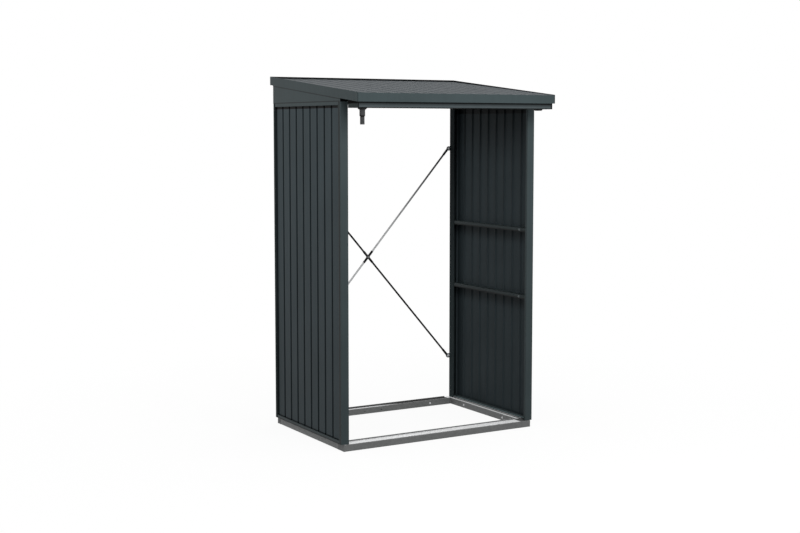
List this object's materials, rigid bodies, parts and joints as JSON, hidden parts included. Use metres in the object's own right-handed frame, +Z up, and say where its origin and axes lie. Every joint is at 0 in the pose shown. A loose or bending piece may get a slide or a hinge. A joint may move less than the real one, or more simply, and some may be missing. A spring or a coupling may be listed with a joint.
{
  "type": "log store",
  "caption": "Open-fronted sheet-steel log store: a base ring, ribbed side walls, a lean-to roof with a hidden gutter and hose outlet, and a cross brace over the open back.",
  "frame": {"origin": "centre of the roof's plan on the ground: X midway between the walls, Y midway between the front and back fascias, Z at the underside of the base rails", "axes": "+Z up, -Y towards the open front with the gutter, +X to the right seen from the front"},
  "size_m": [1.234, 1.032, 1.99],
  "materials": {
    "painted_steel": "satin anthracite powder coat",
    "roof_paint": "satin anthracite powder coat",
    "base_metal": "dull galvanised steel",
    "zinc_rod": "zinc-plated steel rod",
    "black_plastic": "matt black plastic"
  },
  "bodies": {
    "root": {"base_front_rail": "base_metal", "base_back_rail": "base_metal", "base_left_rail": "base_metal", "base_right_rail": "base_metal", "left_front_post": "painted_steel", "left_back_post": "painted_steel", "left_wall_panel": "painted_steel", "left_top_rail": "painted_steel", "left_bottom_rail": "painted_steel", "left_upper_shelf_rail": "painted_steel", "left_lower_shelf_rail": "painted_steel", "left_gable": "painted_steel", "right_front_post": "painted_steel", "right_back_post": "painted_steel", "right_wall_panel": "painted_steel", "right_top_rail": "painted_steel", "right_bottom_rail": "painted_steel", "right_upper_shelf_rail": "painted_steel", "right_lower_shelf_rail": "painted_steel", "right_gable": "painted_steel", "front_header": "painted_steel", "back_header": "painted_steel", "roof_sheet": "roof_paint", "roof_front_fascia": "painted_steel", "roof_back_fascia": "painted_steel", "roof_left_fascia": "painted_steel", "roof_right_fascia": "painted_steel", "gutter": "painted_steel", "gutter_left_cap": "black_plastic", "gutter_right_cap": "black_plastic", "gutter_outlet": "black_plastic", "gutter_plug": "black_plastic", "brace_hub": "black_plastic", "upper_left_brace_rod": "zinc_rod", "lower_left_brace_rod": "zinc_rod", "upper_right_brace_rod": "zinc_rod", "lower_right_brace_rod": "zinc_rod", "upper_left_brace_bracket": "painted_steel", "lower_left_brace_bracket": "painted_steel", "upper_right_brace_bracket": "painted_steel", "lower_right_brace_bracket": "painted_steel"}
  },
  "joints": []
}
